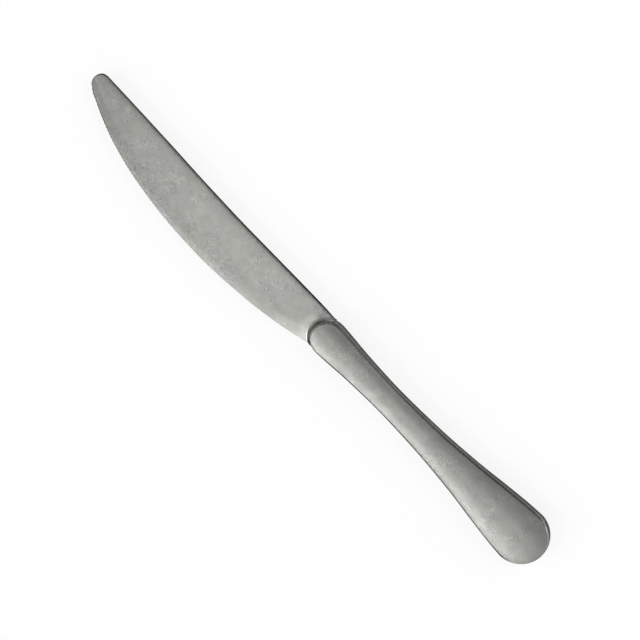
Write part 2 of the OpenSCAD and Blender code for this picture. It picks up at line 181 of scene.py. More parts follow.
# Painted shade of the walls, dark and lighter bands in place of their reflections: from 0 for none
# to 1 for the darkest, by share of the wall's height, on the sides, on the front of the sides, at
# the mouth and round the butt
WALL_PAINTED_SHADE = [(0, 0.98), (0.38, 0.96), (0.55, 0.72), (0.72, 0.74), (0.86, 0.98), (1, 0.98)]
FRONT_WALL_PAINTED_SHADE = [(0, 0.98), (0.2, 0.82), (0.35, 0.66), (0.62, 0.74), (0.84, 0.97), (1, 0.97)]
MOUTH_WALL_PAINTED_SHADE = [
    (0, 0.86), (0.7, 0.86), (0.77, 0.89), (0.84, 0.75), (0.9, 0.6), (0.96, 0.66), (1, 0.8),
]
BUTT_WALL_PAINTED_SHADE = [(0, 1.0), (0.3, 0.8), (0.5, 0.48), (0.75, 0.28), (0.9, 0.18), (1, 0.16)]
# Places between which the front of the sides gives way to the rest, and the angle round the butt
# at which its own painted shade is reached
FRONT_WALL_END = (4, 40)
BUTT_SHADE_ANGLE = 32

# Painted shade on either side of the handle. "wall_share" is the share of the wall's painted shade
# that shows, by place. "rim" and "wide_rim" are the painted shade of the face by distance from its
# rounded edge, on the front of the handle and on its wide end, and "wide_share" says by place how
# much the second counts. Below 0 it is a painted highlight, which makes the steel brighter.
SPINE_SIDE = {
    "wall_share": [
        (0.2, 1.0), (1, 0.83), (1.8, 0.72), (2.7, 0.55), (3.7, 0.75), (5, 1.0),
        (106, 1.0), (107.6, 1.2), (110.2, 2.25), (112.5, 1.5), (114.4, 0.85), (116, 0.7),
    ],
    "rim": [(0, 0.3), (0.1, 0.15), (0.2, -0.1), (0.35, -0.16), (0.55, 0), (1.8, 0)],
    "wide_rim": [
        (0, 0.75), (0.12, 0.5), (0.25, 0.2), (0.4, 0.05), (0.6, 0.07), (1.2, 0.06), (1.8, 0),
    ],
    "wide_share": [(40, 0), (62, 1), (100, 1), (106, 0.45), (109, 0)],
}
BELLY_SIDE = {
    "wall_share": [(0, 1.0), (3, 0.9), (5, 0.55), (8, 0.65), (14, 1.0)],
    "rim": [(0, 0.34), (0.1, 0.22), (0.25, 0.1), (0.45, 0.06), (1.0, 0.05), (1.8, 0)],
    "wide_rim": [
        (0, 0.58), (0.1, 0.54), (0.25, 0.46), (0.45, 0.36), (0.7, 0.24), (1.0, 0.16), (1.8, 0),
    ],
    "wide_share": [(30, 0), (56, 0.7), (70, 0.85), (84, 1), (98, 0.45), (117, 0.4)],
}
# While the share of a wall's painted shade grows from 1 to this share, the most painted shade that
# the wall can have falls from 1 to this value
BUTT_TURN_SHARE = 1.15
BUTT_TURN_PAINTED_SHADE = 0.87
# Stretch of the rounded edge over which the wall's painted shade gives way to that of the face: on
# the sides, and round the butt
ROUNDING_SHADE_HANDOVER = (0.62, 1.0)
BUTT_ROUNDING_SHADE_HANDOVER = (0.5, 1.0)

# Painted shade of the blade on the spine and at its corner, and how much darker the flank is beside
# it
SPINE_PAINTED_SHADE = 1.0
SPINE_CORNER_PAINTED_SHADE = 0.55
NEAR_SPINE_DARKENING = 0.22
# Share of the blade's painted shade that shows at the mouth, and the distance over which it grows
# to 1
SPINE_FRONT_SHARE = 0.78
SPINE_FRONT_LEN = 7.0
# Painted shade along the cutting edge and on the bevel, by share of the blade's length
LIP_PAINTED_SHADE = [(0, 0.0), (0.1, 0.2), (0.3, 0.35), (0.55, 0.4), (0.75, 0.9), (1, 1.0)]
BEVEL_PAINTED_SHADE = [(0, 0.0), (0.3, 0.07), (0.45, 0.2), (0.6, 0.24), (0.75, 0.38), (1, 0.5)]
# Width of the line along the cutting edge, and at the tip, and where it widens from the one to
# the other, as shares of the blade's length: start and stretch
LIP_W = 0.4
TIP_LIP_W = 0.7
TIP_LIP_START = 0.8
TIP_LIP_STRETCH = 0.15
# Share of the bevel's painted shade left at its inner border, and the points of the flank over
# which that fades out
BORDER_SHARE = 0.5
BORDER_POINTS = 3
# Painted dark line along the outline of the rounded tip: its painted shade, width, and the
# distance over which it starts
TIP_DARK = 0.95
TIP_DARK_W = 0.6
TIP_DARK_GROWS = 1.2

# Painted shade in front of the mouth, by distance from it, and below 0 a painted highlight: at its
# lower end, in its middle and at its upper end
LOW_COLLAR_PAINTED_SHADE = [
    (0, 0.5), (0.3, 0.94), (0.62, 0.97), (0.95, 0.1), (1.15, -0.15), (2.5, -0.15), (4.5, 0),
]
COLLAR_PAINTED_SHADE = [
    (0, 0.58), (0.3, 0.8), (0.8, 0.58), (1.3, 0.12), (1.8, -0.22), (3, -0.2), (4.5, 0),
]
HIGH_COLLAR_PAINTED_SHADE = [(0, 0.6), (0.4, 0.46), (1.6, 0.38), (2.6, 0.18), (3.5, 0)]
# Heights at which these count: the first once, the second twice, the third once, and at last a
# share of the third
COLLAR_HEIGHTS = (-2.4, -0.4, 1.6, 3.8, 5.6)
COLLAR_TOP_SHARE = 0.4
# Below a height the distances are multiplied by a factor. It is 1 at a turning height, grows by
# a step for each millimetre below that, and shrinks above it to a least value.
COLLAR_LOW_H = -2
COLLAR_TURN_H = -4
COLLAR_STEP = 0.2
COLLAR_LEAST = 0.88
# Painted shade of the collar's rounded edge
COLLAR_EDGE_PAINTED_SHADE = 0.88
# In front of the mouth the painted highlight only shows where all painted shade there is below
# this
PAINTED_HIGHLIGHT_BELOW = 0.15

# Painted shade and highlight along the knife: a brightness factor for the steel, by X
BLADE_PAINTED_TONE = [(-117, 0.72), (-104, 0.83), (-84, 0.95), (-54, 1.01), (-14, 1.02), (-3, 1.1)]
HANDLE_PAINTED_TONE = [
    (0, 0.96), (20, 0.97), (40, 1.0), (56, 1.0), (78, 0.94), (104, 0.94), (110, 0.89),
    (114, 0.75), (117.5, 0.58),
]

# Steps along and across the shapes
TIP_STEPS = 26
TOOTH_STEPS = 8
BODY_STEPS = 44
BEND_STEPS = 34
FILLET_STEPS = 18
SEAT_STEPS = 4
BEVEL_POINTS = 8
FLANK_POINTS = 16
CORNER_POINTS = 4
SIDE_STEPS = 150
BUTT_STEPS = 40
WALL_POINTS = 12
ROUND_POINTS = 8
FACE_POINTS = 44
LINING_POINTS = 4
# Angle of a step along the mouth, and of the last one
MOUTH_STEP = 2.5
MOUTH_END = 60
# Distances of the points on the rim of the face from its rounded edge
RIM_STEPS = (0, 0.1, 0.25, 0.45, 0.7, 1.0, 1.4, 1.8)
# Exponents that crowd the steps: on the bevel towards the edge, on the flank towards the spine,
# along the fillet and along the sides towards the mouth
BEVEL_CROWD = 1.5
FLANK_CROWD = 0.7
FILLET_CROWD = 1.5
SIDE_CROWD = 1.25

# Meshes: a width below the first is no width. Points closer than the second, in metres, are
# joined, and edges shorter than the third are taken out. Edges with a larger angle stay sharp.
TINY = 1e-6
JOIN_WITHIN = 1e-7
DROP_BELOW = 1e-8
SHARP_ANGLE = 32.0

# Camera, from the photograph: the knife is rolled about its axis, and turned in the picture. The
# picture is this wide at the knife, and its middle lies at an X and up the tilted face from there.
ROLL = math.radians(19)
TURN = math.radians(45.7)
VIEW_WIDTH = 229.8
AIM_X = 1.324
AIM_UP = 2.33
CAMERA_DISTANCE = 1600.0
SENSOR_W = 36.0
CLIP_END_M = 50.0


# Functions
def mix(a, b, t):
    return a + (b - a) * t


def unit(t):
    return min(max(t, 0.0), 1.0)


def fade(t):
    """Smooth change from 1 to 0 as t goes from 0 to 1."""
    t = unit(t)
    return 1 - t * t * (3 - 2 * t)


def ratio(a, b):
    """Share of a width, or 0 where there is no width."""
    return a / b if b > TINY else 0.0


def rise(table, i):
    """Slope between a point of a table and the next one."""
    return (table[i + 1][1] - table[i][1]) / (table[i + 1][0] - table[i][0])


def tangent(table, i):
    """Slope of the curve at a point of its table. It is level at a high or low point."""
    if i == 0:
        return rise(table, 0)
    if i == len(table) - 1:
        return rise(table, i - 1)
    before, after = rise(table, i - 1), rise(table, i)
    if before * after <= 0:
        return 0.0
    return 2 * before * after / (before + after)


def curve(table, x):
    """Smooth curve through a table of points, without overshoot, held level past its ends."""
    i = 0
    while i < len(table) - 2 and x >= table[i + 1][0]:
        i += 1
    step = table[i + 1][0] - table[i][0]
    t = unit((x - table[i][0]) / step)
    return (
        mix(table[i][1], table[i + 1][1], t * t * (3 - 2 * t))
        + step * tangent(table, i) * t * (1 - t) * (1 - t)
        - step * tangent(table, i + 1) * t * t * (1 - t)
    )


def soft_min(a, b):
    return a * (1 + (a / b) ** CORNER_POWER) ** (-1 / CORNER_POWER)


def bend(y):
    """Depth of the curved mouth at a height from the axis."""
    return MOUTH_R - math.sqrt(max(MOUTH_R * MOUTH_R - y * y, 0.0))


def sin_deg(a):
    return math.sin(math.radians(a))


def cos_deg(a):
    return math.cos(math.radians(a))


# Derived places
TIP_C = BLADE_LEN - TIP_R
TIP_C_H = TIP_SPINE_H - TIP_R
TIP_EDGE_AT = TIP_C + TIP_R * sin_deg(TIP_EDGE_ANGLE) ** (2 / TIP_POWER)
TIP_EDGE_H = TIP_C_H - TIP_R * cos_deg(TIP_EDGE_ANGLE) ** (2 / TIP_POWER)
TEETH = int(SERRATION_LEN / TOOTH_PITCH)
TEETH_END = TIP_EDGE_AT - TEETH * TOOTH_PITCH
BEND_LEN = BEND_FADE * BLADE_LEN
ROUND_AT = HANDLE_LEN - BUTT_ROUND
MOUTH_C = MOUTH_GAP + MOUTH_R
SIDE_START = MOUTH_C - CORNER * MOUTH_R + SHELL_T + MOUTH_LEAN - MOUTH_GAP
FRAME = Vector(((BLADE_LEN - HANDLE_LEN) / 2, (BELLY_DEPTH - BUTT_W / 2) / 2, HANDLE_T / 2))

SPINE_TABLE = (
    [(-bend(MOUTH_SPINE_H), MOUTH_SPINE_H)]
    + [(x * BLADE_LEN, mix(HEEL_SPINE_H, TIP_SPINE_H, h)) for x, h in SPINE_RISE]
    + [(TIP_C, TIP_SPINE_H)]
)
EDGE_TABLE = (
    [(-bend(MOUTH_EDGE_DEPTH), -MOUTH_EDGE_DEPTH)]
    + [(x * BLADE_LEN, -d * BELLY_DEPTH) for x, d in EDGE_DEPTH]
    + [(TIP_EDGE_AT, TIP_EDGE_H)]
)
WIDTH_TABLE = (
    [(x * ROUND_AT, mix(NECK_W, FRONT_W, w) / 2) for x, w in FRONT_WIDTH]
    + [(x * ROUND_AT, mix(NECK_W, BUTT_W, w) / 2) for x, w in BUTT_WIDTH[1:]]
)
THICKNESS_TABLE = [(x * HANDLE_LEN, mix(NECK_T, HANDLE_T, t) / 2) for x, t in THICKNESS]
LEAN_TABLE = [
    (0, MOUTH_LEAN),
    (CORNER * MOUTH_R, FRONT_LEAN),
    (FRONT_WIDTH[-1][0] * ROUND_AT, SIDE_LEAN),
    (LEAN_BUTT * ROUND_AT, SIDE_LEAN),
    (HANDLE_LEN, BUTT_LEAN),
]


# Meshes
def make_piece(name, rings, replaced, material, painted_shade=None):
    """Closed skin over rings of points in millimetres, with an amount of painted shade for each
    point.
    """
    count = len(rings[0])
    verts = [tuple((Vector(p) + FRAME) * MM) for ring in rings for p in ring]
    faces = [
        (i * count + j, i * count + (j + 1) % count,
         (i + 1) * count + (j + 1) % count, (i + 1) * count + j)
        for i in range(len(rings) - 1) for j in range(count)
    ]
    mesh = bpy.data.meshes.new(name)
    mesh.from_pydata(verts, [], faces)
    if painted_shade:
        layer = mesh.attributes.new("painted_shade", "FLOAT", "POINT")
        layer.data.foreach_set("value", [v for row in painted_shade for v in row])
    weld(mesh)
    mesh.polygons.foreach_set("use_smooth", [True] * len(mesh.polygons))
    mesh.set_sharp_from_angle(angle=math.radians(SHARP_ANGLE))
    mesh.materials.append(material)
    piece = bpy.data.objects.new(name, mesh)
    bpy.context.scene.collection.objects.link(piece)
    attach(piece, BODY)
    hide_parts(replaced)


def weld(mesh):
    """Joins the points that meet at the poles, closes what is left open and turns faces outward."""
    work = bmesh.new()
    work.from_mesh(mesh)
    bmesh.ops.remove_doubles(work, verts=work.verts, dist=JOIN_WITHIN)
    bmesh.ops.dissolve_degenerate(work, edges=work.edges, dist=DROP_BELOW)
    open_edges = [e for e in work.edges if e.is_boundary]
    if open_edges:
        bmesh.ops.holes_fill(work, edges=open_edges, sides=0)
    bmesh.ops.recalc_face_normals(work, faces=work.faces)
    work.to_mesh(mesh)
    work.free()


# Blade
def tip_half_h(at):
    """Half height of the rounded tip at a place."""
    return TIP_R * max(1 - ((at - TIP_C) / TIP_R) ** TIP_POWER, 0.0) ** (1 / TIP_POWER)


def spine_h(at):
    return TIP_C_H + tip_half_h(at) if at > TIP_C else curve(SPINE_TABLE, at)


def edge_h(at):
    return TIP_C_H - tip_half_h(at) if at > TIP_EDGE_AT else curve(EDGE_TABLE, at)


def half_section(
        edge, spine, edge_z, bevel_z, spine_z, bevel, r,
        roll=0.0, lip=0.0, lip_w=LIP_W, shade_amount=0.0, cut=0.0):
    """Half of a section from the edge to the spine: height, half thickness and painted shade.

    roll is how far the flank falls off beside the spine. lip is the painted shade of the edge and
    lip_w how wide that is; the argument after lip_w is the painted shade of the bevel. cut is how
    much of the bevel a gullet takes away at the edge.
    """
    points = [(edge + cut, EDGE_END * edge_z, lip)]
    first = min(cut + EDGE_CORNER, bevel / 2)
    for k in range(BEVEL_POINTS):
        off = mix(first, bevel, (k / BEVEL_POINTS) ** BEVEL_CROWD)
        t = ratio(off, bevel)
        z = mix(edge_z, bevel_z, t + BEVEL_FULLNESS * t * (1 - t))
        painted_shade = mix(shade_amount * mix(1, BORDER_SHARE, t), lip, fade((off - cut) / lip_w))
        points.append((edge + off, z, painted_shade))
    for k in range(FLANK_POINTS):
        q = (k / FLANK_POINTS) ** FLANK_CROWD
        h = mix(edge + bevel, spine - r, q)
        z = mix(bevel_z, spine_z, mix(q, 1 - fade(q), FLANK_S_SHAPE))
        near = unit(1 - (spine - h) / SPINE_ROLL_W) ** 2
        painted_shade = NEAR_SPINE_DARKENING * near + BORDER_SHARE * shade_amount * unit(1 - k / BORDER_POINTS)
        points.append((h, z - roll * near, painted_shade if roll else 0.0))
    spine_z -= roll
    for k in range(CORNER_POINTS + 1):
        a = 90 * k / CORNER_POINTS
        painted_shade = mix(SPINE_CORNER_PAINTED_SHADE, SPINE_PAINTED_SHADE, sin_deg(a))
        points.append((spine - r * (1 - sin_deg(a)), spine_z - r * (1 - cos_deg(a)), painted_shade))
    points.append((spine, SPINE_END * (spine_z - r), SPINE_PAINTED_SHADE))
    return points


MOUTH_SECTION = half_section(-MOUTH_EDGE_DEPTH, MOUTH_SPINE_H, 1, 1, 1, HEEL_BEVEL_W, SPINE_R)
MOUTH_BENDS = [bend(p[0]) for p in MOUTH_SECTION]


def section_ring(half, at, bends, bent):
    """Ring of a section at a place, with a share of the bends of its points."""
    upper = [(bent * b - at, h, z) for (h, z, _), b in zip(half, bends)]
    return upper + [(x, h, -z) for x, h, z in reversed(upper)]


def collar_painted_shade(at, h):
    """Painted shade and highlight in front of the mouth, by distance from its arc. Far from the
    mouth it is 0.
    """
    arc = math.sqrt(max(MOUTH_R * MOUTH_R - h * h, 0.0))
    off = math.hypot(arc + at, h) - MOUTH_R
    if h < COLLAR_LOW_H:
        off *= max(1 - COLLAR_STEP * (h - COLLAR_TURN_H), COLLAR_LEAST)
    low, middle, high = (
        curve(table, off) for table in (LOW_COLLAR_PAINTED_SHADE, COLLAR_PAINTED_SHADE, HIGH_COLLAR_PAINTED_SHADE))
    values = (low, middle, middle, high, COLLAR_TOP_SHARE * high)
    return curve(list(zip(COLLAR_HEIGHTS, values)), h)


def tip_painted_shade(at, h):
    """Painted dark line, a painted shade, along the outline of the rounded tip."""
    past = max(at - TIP_C, 0.0)
    reach = (past ** TIP_POWER + abs(h - TIP_C_H) ** TIP_POWER) ** (1 / TIP_POWER)
    return TIP_DARK * unit(past / TIP_DARK_GROWS) * fade((TIP_R - reach) / TIP_DARK_W)


def painted_shade_row(half, at):
    """Painted shade of a ring of the blade: the darkest of those that reach each point, or the
    collar's painted highlight.
    """
    upper = []
    share = mix(SPINE_FRONT_SHARE, 1, unit(at / SPINE_FRONT_LEN))
    for h, _, painted_shade in half:
        collar = collar_painted_shade(at, h)
        dark = max(painted_shade * share, collar, tip_painted_shade(at, h))
        upper.append(collar if collar < 0 and dark < PAINTED_HIGHLIGHT_BELOW else dark)
    return upper + upper[::-1]


def bevel_width(at):
    first, last = BEVEL_NARROWS
    plain = mix(BEVEL_W, TIP_BEVEL_W, unit((at / BLADE_LEN - first) / (last - first)))
    return mix(plain, HEEL_BEVEL_W, fade(at / BLADE_LEN / HEEL_FADE))


def blade_half(at, lift=0.0):
    """Half section of the blade at a place, and how much it bends along the mouth.

    lift is how far a gullet cuts into the edge there.
    """
    along = at / BLADE_LEN
    bent = fade(at / BEND_LEN)
    edge = edge_h(at - bent * MOUTH_BENDS[0])
    spine = spine_h(at - bent * MOUTH_BENDS[-1])
    height = spine - edge
    spine_z = mix(HEEL_T, TIP_T, unit(along)) / 2
    bevel_z = mix(BEVEL_T / 2, spine_z, fade(along / HEEL_FADE))
    swell = HEEL_SWELL * (1 - unit(at / HEEL_SWELL_LEN)) ** 2
    raised = (1 - unit(at / FILLET_LEN)) ** FILLET_POWER
    edge_z, bevel_z, spine_z = (
        mix(z, COLLAR_T / 2, raised)
        for z in (curve(EDGE_HALF, along), bevel_z + swell, spine_z + swell))
    roll = mix(SPINE_ROLL_DEPTH, TIP_ROLL_DEPTH, along) * unit(height / (2 * TIP_R))
    half = half_section(
        edge, spine, edge_z, bevel_z, spine_z,
        min(bevel_width(at), MOST_BEVEL * height), min(SPINE_R, MOST_SPINE_R * height),
        roll=roll * (1 - raised),
        lip=curve(LIP_PAINTED_SHADE, along),
        lip_w=mix(TIP_LIP_W, LIP_W, fade((along - TIP_LIP_START) / TIP_LIP_STRETCH)),
        shade_amount=curve(BEVEL_PAINTED_SHADE, along),
        cut=lift,
    )
    return half, bent


def blade_stations():
    """Places from the tip to the mouth, and how far a gullet lifts the edge there."""
    angles = [mix(90, TIP_EDGE_ANGLE, i / TIP_STEPS) for i in range(TIP_STEPS)]
    rows = [(TIP_C + TIP_R * sin_deg(a) ** (2 / TIP_POWER), 0.0) for a in angles]
    for i in range(TEETH):
        depth = TOOTH_DEPTH * unit((TEETH - i) / FADING_TEETH)
        for k in range(TOOTH_STEPS):
            t = k / TOOTH_STEPS
            rows.append((TIP_EDGE_AT - (i + t) * TOOTH_PITCH, depth * math.sin(math.pi * t)))
    rows += [(mix(TEETH_END, BEND_LEN, i / BODY_STEPS), 0.0) for i in range(BODY_STEPS)]
    rows += [(mix(BEND_LEN, FILLET_LEN, i / BEND_STEPS), 0.0) for i in range(BEND_STEPS)]
    for i in range(FILLET_STEPS + 1):
        rows.append((FILLET_LEN * (1 - i / FILLET_STEPS) ** FILLET_CROWD, 0.0))
    return rows


def collar_edge_rings():
    """Rounded edge of the collar, down into the gap at the mouth."""
    half, bent = blade_half(0.0)
    rings = []
    for a in MOUTH_EDGE_ANGLES:
        depth = MOUTH_EDGE_R * (1 - cos_deg(a))
        lowered = [(h, z - depth, painted_shade) for h, z, painted_shade in half]
        at = -MOUTH_EDGE_R * sin_deg(a) * MOUTH_EDGE_SHARE
        rings.append(section_ring(lowered, at, MOUTH_BENDS, bent))
    return rings


def bar_half(low, high, thickness):
    """Half section of a flat bar between two heights."""
    z = thickness / 2
    return half_section(low, high, z, z, z, (high - low) * BAR_CORNER, thickness * BAR_CORNER)


def seat_rings():
    """Seat that the shells close on: curved like the mouth in front, and straight behind."""
    seat_w = rim(("mouth", SEAT_ANGLE), SHELL_T)[1] - FIT_GAP
    half = bar_half(-seat_w, seat_w, SEAT_T)
    bends = [bend(p[0]) for p in half]
    start = MOUTH_EDGE_R * MOUTH_EDGE_SHARE
    rings = []
    for i in range(SEAT_STEPS + 1):
        t = i / SEAT_STEPS
        rings.append(section_ring(half, -mix(start, SEAT_LEN, t), bends, 1 - t))
    return rings


def tang_half_w(at):
    return mix(TANG_W, TANG_END_W, unit((at - SEAT_LEN) / (TANG_LEN - SEAT_LEN))) / 2


def tang_stations():
    """Places along the tang, and how deep a notch cuts into its upper and lower side there."""
    rows = [(SEAT_LEN, 0, 0)]
    for side, share in enumerate(NOTCH_PLACES):
        middle = share * TANG_LEN
        cuts = ((1 - side) * NOTCH_DEPTH, side * NOTCH_DEPTH)
        rows += [
            (middle - NOTCH_LEN / 2, 0, 0), (middle - NOTCH_LEN / 4, *cuts),
            (middle + NOTCH_LEN / 4, *cuts), (middle + NOTCH_LEN / 2, 0, 0),
        ]
    return rows + [(TANG_LEN, 0, 0)]


def tang_rings():
    rings = []
    for at, upper_cut, lower_cut in tang_stations():
        w = tang_half_w(at)
        half = bar_half(lower_cut - w, w - upper_cut, TANG_T)
        rings.append(section_ring(half, -at, MOUTH_BENDS, 0.0))
    return rings


def make_blade(material):
    """One forging: blade and collar, then seat and tang, which have no painted shade."""
    rings, painted_shade = [], []
    for at, lift in blade_stations():
        half, bent = blade_half(at, lift)
        rings.append(section_ring(half, at, MOUTH_BENDS, bent))
        painted_shade.append(painted_shade_row(half, at))
    edge_rings = collar_edge_rings()
    painted_shade += [[COLLAR_EDGE_PAINTED_SHADE] * len(rings[0])] * len(edge_rings)
    rings += edge_rings + seat_rings() + tang_rings()
    painted_shade += [[0.0] * len(rings[0])] * (len(rings) - len(painted_shade))
    make_piece("knife_blade", rings, "blade", material, painted_shade)


# Handle. A station is a kind and a value: "mouth" and an angle from the middle of the mouth,
# "side" and a place, or "butt" and an angle round the butt.
def side_w(x):
    """Half width of the handle."""
    return curve(WIDTH_TABLE, x)


def crown_h(x):
    return CROWN * side_w(x)


def face_edge_z(x):
    return curve(THICKNESS_TABLE, x) - crown_h(x)


def rim(s, inset):
    """Point of the handle's outline at a station, at a distance inside it: place, half width."""
    kind, value = s
    arc_r = MOUTH_R - inset
    if kind == "mouth":
        x = MOUTH_C - arc_r * cos_deg(value)
        return x, soft_min(arc_r * sin_deg(value), side_w(x) - inset) if value else 0.0
    if kind == "butt":
        x = ROUND_AT + (BUTT_ROUND - inset) * sin_deg(value)
        return x, (BUTT_W / 2 - inset) * cos_deg(value)
    if value < MOUTH_C:
        arc = math.sqrt(arc_r ** 2 - (MOUTH_C - value) ** 2)
        return value, soft_min(arc, side_w(value) - inset)
    return value, side_w(value) - inset


def place(s):
    return rim(s, 0)[0]


def lean(s):
    """How far the wall leans in at a station."""
    return curve(LEAN_TABLE, place(s))


def slack(q):
    """Share of the slope between the flat middle of the face and its edge, with a soft start."""
    past = q - FLAT
    last = 1 - FLAT
    return (math.hypot(past, FLAT_SOFTNESS) + past) / (math.hypot(last, FLAT_SOFTNESS) + last)


def face_z(s, inset, y):
    """Height of the crowned face. The mouth cuts the crown off, and it falls away at the butt."""
    x, w = rim(s, inset)
    full = side_w(x) - inset
    if s[0] == "butt":
        share = unit(w / full)
        reach = ratio(abs(y), w)
        crown = crown_h(x) * share * share
    else:
        reach = abs(y) / full
        crown = crown_h(x)
    return face_edge_z(place(s)) + crown * (1 - slack(reach) ** 2)


def top_z(s):
    """Height of the edge of the face."""
    inset = lean(s)
    return face_z(s, inset, rim(s, inset)[1])


def foot_z(s):
    """Height at which the upright foot of the wall ends and the wall starts to lean in."""
    near_mouth = fade((place(s) / MOUTH_R - CORNER / 2) / CORNER)
    share = mix(FOOT, BUTT_FOOT, butt_share(s, BUTT_FOOT_ANGLE))
    return mix(share * face_edge_z(place(s)), COLLAR_T / 2, near_mouth)


def rim_z(s):
    """Height at which the wall starts: on the seat at the mouth, and on the seam elsewhere."""
    return SEAT_T / 2 if s[0] == "mouth" and s[1] <= SEAT_ANGLE else BRAZE_T / 2


def face_point(s, q, inset, depth=0.0):
    """Point of the face: q is 1 on the edge towards the spine and -1 on the other edge."""
    x, w = rim(s, inset)
    return x, q * w, face_z(s, inset, q * w) - depth


def butt_share(s, angle=BUTT_SHADE_ANGLE):
    """Grows from 0 to 1 on the way round the butt, up to an angle."""
    return 1 - fade(s[1] / angle) if s[0] == "butt" else 0.0


def wall_painted_shade(s, height):
    """Painted shade of the wall at a share of its height: on the sides, at the mouth and at the
    butt.
    """
    first, last = FRONT_WALL_END
    front = fade((place(s) - first) / (last - first))
    sides = mix(curve(WALL_PAINTED_SHADE, height), curve(FRONT_WALL_PAINTED_SHADE, height), front)
    if s[0] == "butt":
        return mix(sides, curve(BUTT_WALL_PAINTED_SHADE, height), butt_share(s))
    return mix(sides, curve(MOUTH_WALL_PAINTED_SHADE, height), fade(place(s) / (CORNER * MOUTH_R)))


def shared_painted_shade(s, height, side):
    """Painted shade of the wall times the side's share. Where that is above 1, it is held down."""
    share = curve(side["wall_share"], place(s))
    most = mix(1.0, BUTT_TURN_PAINTED_SHADE, unit((share - 1) / (BUTT_TURN_SHARE - 1)))
    return min(share * wall_painted_shade(s, height), most)


def rim_painted_shade(s, side, distance):
    """Painted shade of the face at a distance from its rounded edge; below 0 a painted highlight.
    """
    wide = curve(side["wide_share"], place(s)) * (1 - butt_share(s))
    return mix(curve(side["rim"], distance), curve(side["wide_rim"], distance), wide)


def rounding_painted_shade(s, side, t):
    """Painted shade at a share of the way from the wall to the face, round the rounded edge."""
    ends = zip(ROUNDING_SHADE_HANDOVER, BUTT_ROUNDING_SHADE_HANDOVER)
    first, last = (mix(plain, at_butt, butt_share(s)) for plain, at_butt in ends)
    dark = fade((t - first) / (last - first))
    return mix(rim_painted_shade(s, side, 0), shared_painted_shade(s, 1.0, side), dark)


def wall_line(s, cut):
    """Line of the wall up to a distance from its top: distance inside the outline, height."""
    foot, top, lean_s = foot_z(s), top_z(s), lean(s)
    rise_h = max(top - foot, LEAST_RISE)
    t_cut = 1 - cut / math.hypot(rise_h, LEAN_POWER * lean_s)
    line = [(0.0, rim_z(s))]
    for k in range(WALL_POINTS + 1):
        t = t_cut * k / WALL_POINTS
        line.append((lean_s * t ** LEAN_POWER, mix(foot, top, t)))
    return line


def outer_side(s, side):
    """One side of a shell at a station: its wall from the foot up, its rounded edge and its rim.

    The second result says where the rim ends, as a share of the half width of the face.
    """
    top, inset = top_z(s), lean(s)
    edge_w = rim(s, inset)[1]
    cut = min(FACE_EDGE_R, MOST_EDGE * edge_w)
    q_cut = 1 - ratio(cut, edge_w)
    points = [
        (*rim(s, off), z, shared_painted_shade(s, z / top, side)) for off, z in wall_line(s, cut)]
    start, corner, end = points[-1], (*rim(s, inset), top), face_point(s, q_cut, inset)
    for k in range(1, ROUND_POINTS):
        t = k / ROUND_POINTS
        a, b, c = (1 - t) ** 2, 2 * t * (1 - t), t * t
        bent = [a * start[i] + b * corner[i] + c * end[i] for i in range(3)]
        points.append((*bent, rounding_painted_shade(s, side, t)))
    rim_w = min(RIM_STEPS[-1], MOST_EDGE * edge_w)
    for step in RIM_STEPS[:-1]:
        off = step * rim_w / RIM_STEPS[-1]
        on_face = face_point(s, q_cut - ratio(off, edge_w), inset)
        points.append((*on_face, rim_painted_shade(s, side, off)))
    return points, q_cut - ratio(rim_w, edge_w)


def outer_arch(s):
    """Outside of a shell at a station: up one wall, over the face, and down the other wall."""
    up, q_rim = outer_side(s, SPINE_SIDE)
    down, _ = outer_side(s, BELLY_SIDE)
    face = []
    for i in range(FACE_POINTS + 1):
        q = q_rim * (1 - 2 * i / FACE_POINTS)
        face.append((*face_point(s, q, lean(s)), 0.0))
    return up + face + [(x, -w, z, painted_shade) for x, w, z, painted_shade in reversed(down)]


def inner_arch(s, depth):
    """Inside of a shell at a station, at a depth below its outside. It has no painted shade."""
    lean_s, top = lean(s), top_z(s) - depth
    side = []
    for k in range(LINING_POINTS):
        t = k / (LINING_POINTS - 1)
        side.append((*rim(s, depth + lean_s * t * t), mix(rim_z(s), top, 1 - (1 - t) ** 2), 0.0))
    face = []
    for i in range(1, LINING_POINTS):
        q = 1 - 2 * i / LINING_POINTS
        face.append((*face_point(s, q, depth + lean_s, depth), 0.0))
    return side + face + [(x, -w, z, painted_shade) for x, w, z, painted_shade in reversed(side)]


def handle_stations():
    """Stations from the middle of the mouth to the end of the butt."""
    angles = [i * MOUTH_STEP for i in range(int(MOUTH_END / MOUTH_STEP) + 1)]
    angles += [SEAT_ANGLE, SEAT_ANGLE + SEAT_STEP_ANGLE]
    rows = [("mouth", a) for a in sorted(angles)]
    for i in range(SIDE_STEPS + 1):
        rows.append(("side", mix(SIDE_START, ROUND_AT, (i / SIDE_STEPS) ** SIDE_CROWD)))
    return rows + [("butt", 90 * i / BUTT_STEPS) for i in range(1, BUTT_STEPS + 1)]


def make_shell(name, side, replaced, material):
    """One half of the handle: side is 1 for the upper shell and -1 for the lower one."""
    rings, painted_shade = [], []
    for s in handle_stations():
        points = outer_arch(s) + inner_arch(s, SHELL_T)[::-1]
        rings.append([(x, w, side * z) for x, w, z, _ in points])
        painted_shade.append([p for _, _, _, p in points])
    make_piece(name, rings, replaced, material, painted_shade)


